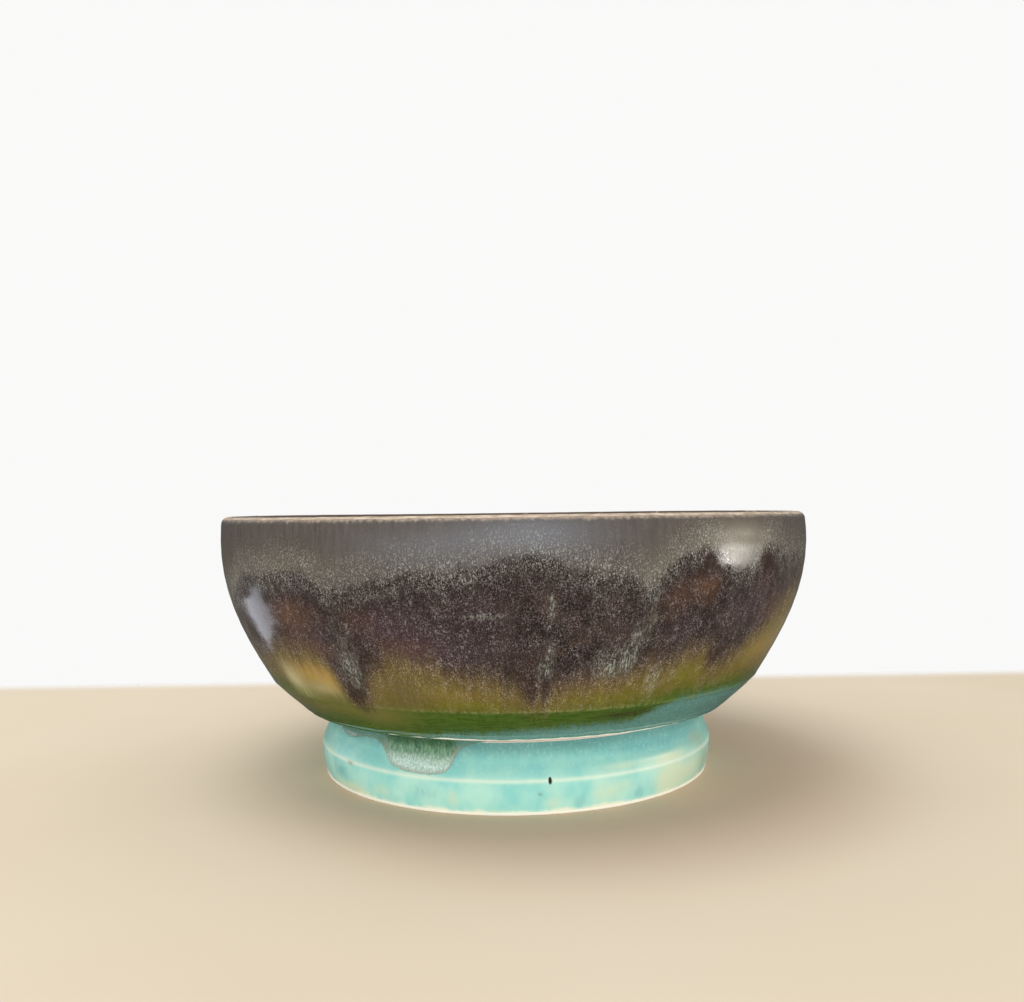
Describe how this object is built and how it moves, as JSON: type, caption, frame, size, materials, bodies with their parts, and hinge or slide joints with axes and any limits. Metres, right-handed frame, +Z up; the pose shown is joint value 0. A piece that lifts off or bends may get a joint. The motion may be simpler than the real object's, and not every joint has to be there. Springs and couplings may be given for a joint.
{
  "type": "footed bowl",
  "caption": "Footed round bowl of glazed stoneware: a deep open bowl with a sharp lower corner, luted onto a low foot ring, for serving or holding things.",
  "frame": {"origin": "centre of the foot's resting face", "axes": "+Z up along the bowl's axis; the front, with the glaze run at its left, faces -Y"},
  "size_m": [0.2004, 0.2004, 0.0871],
  "materials": {
    "stoneware": "matte",
    "slip": "matte",
    "liner_glaze": "satin",
    "lip_glaze": "satin",
    "running_glaze": "gloss",
    "turquoise_glaze": "satin",
    "run_glaze": "gloss"
  },
  "bodies": {
    "root": {"bowl_body": "stoneware", "foot_ring": "stoneware", "luting_slip": "slip", "inner_glaze": "liner_glaze", "rim_glaze": "lip_glaze", "outer_glaze": "running_glaze", "foot_glaze": "turquoise_glaze", "glaze_run": "run_glaze"}
  },
  "joints": []
}
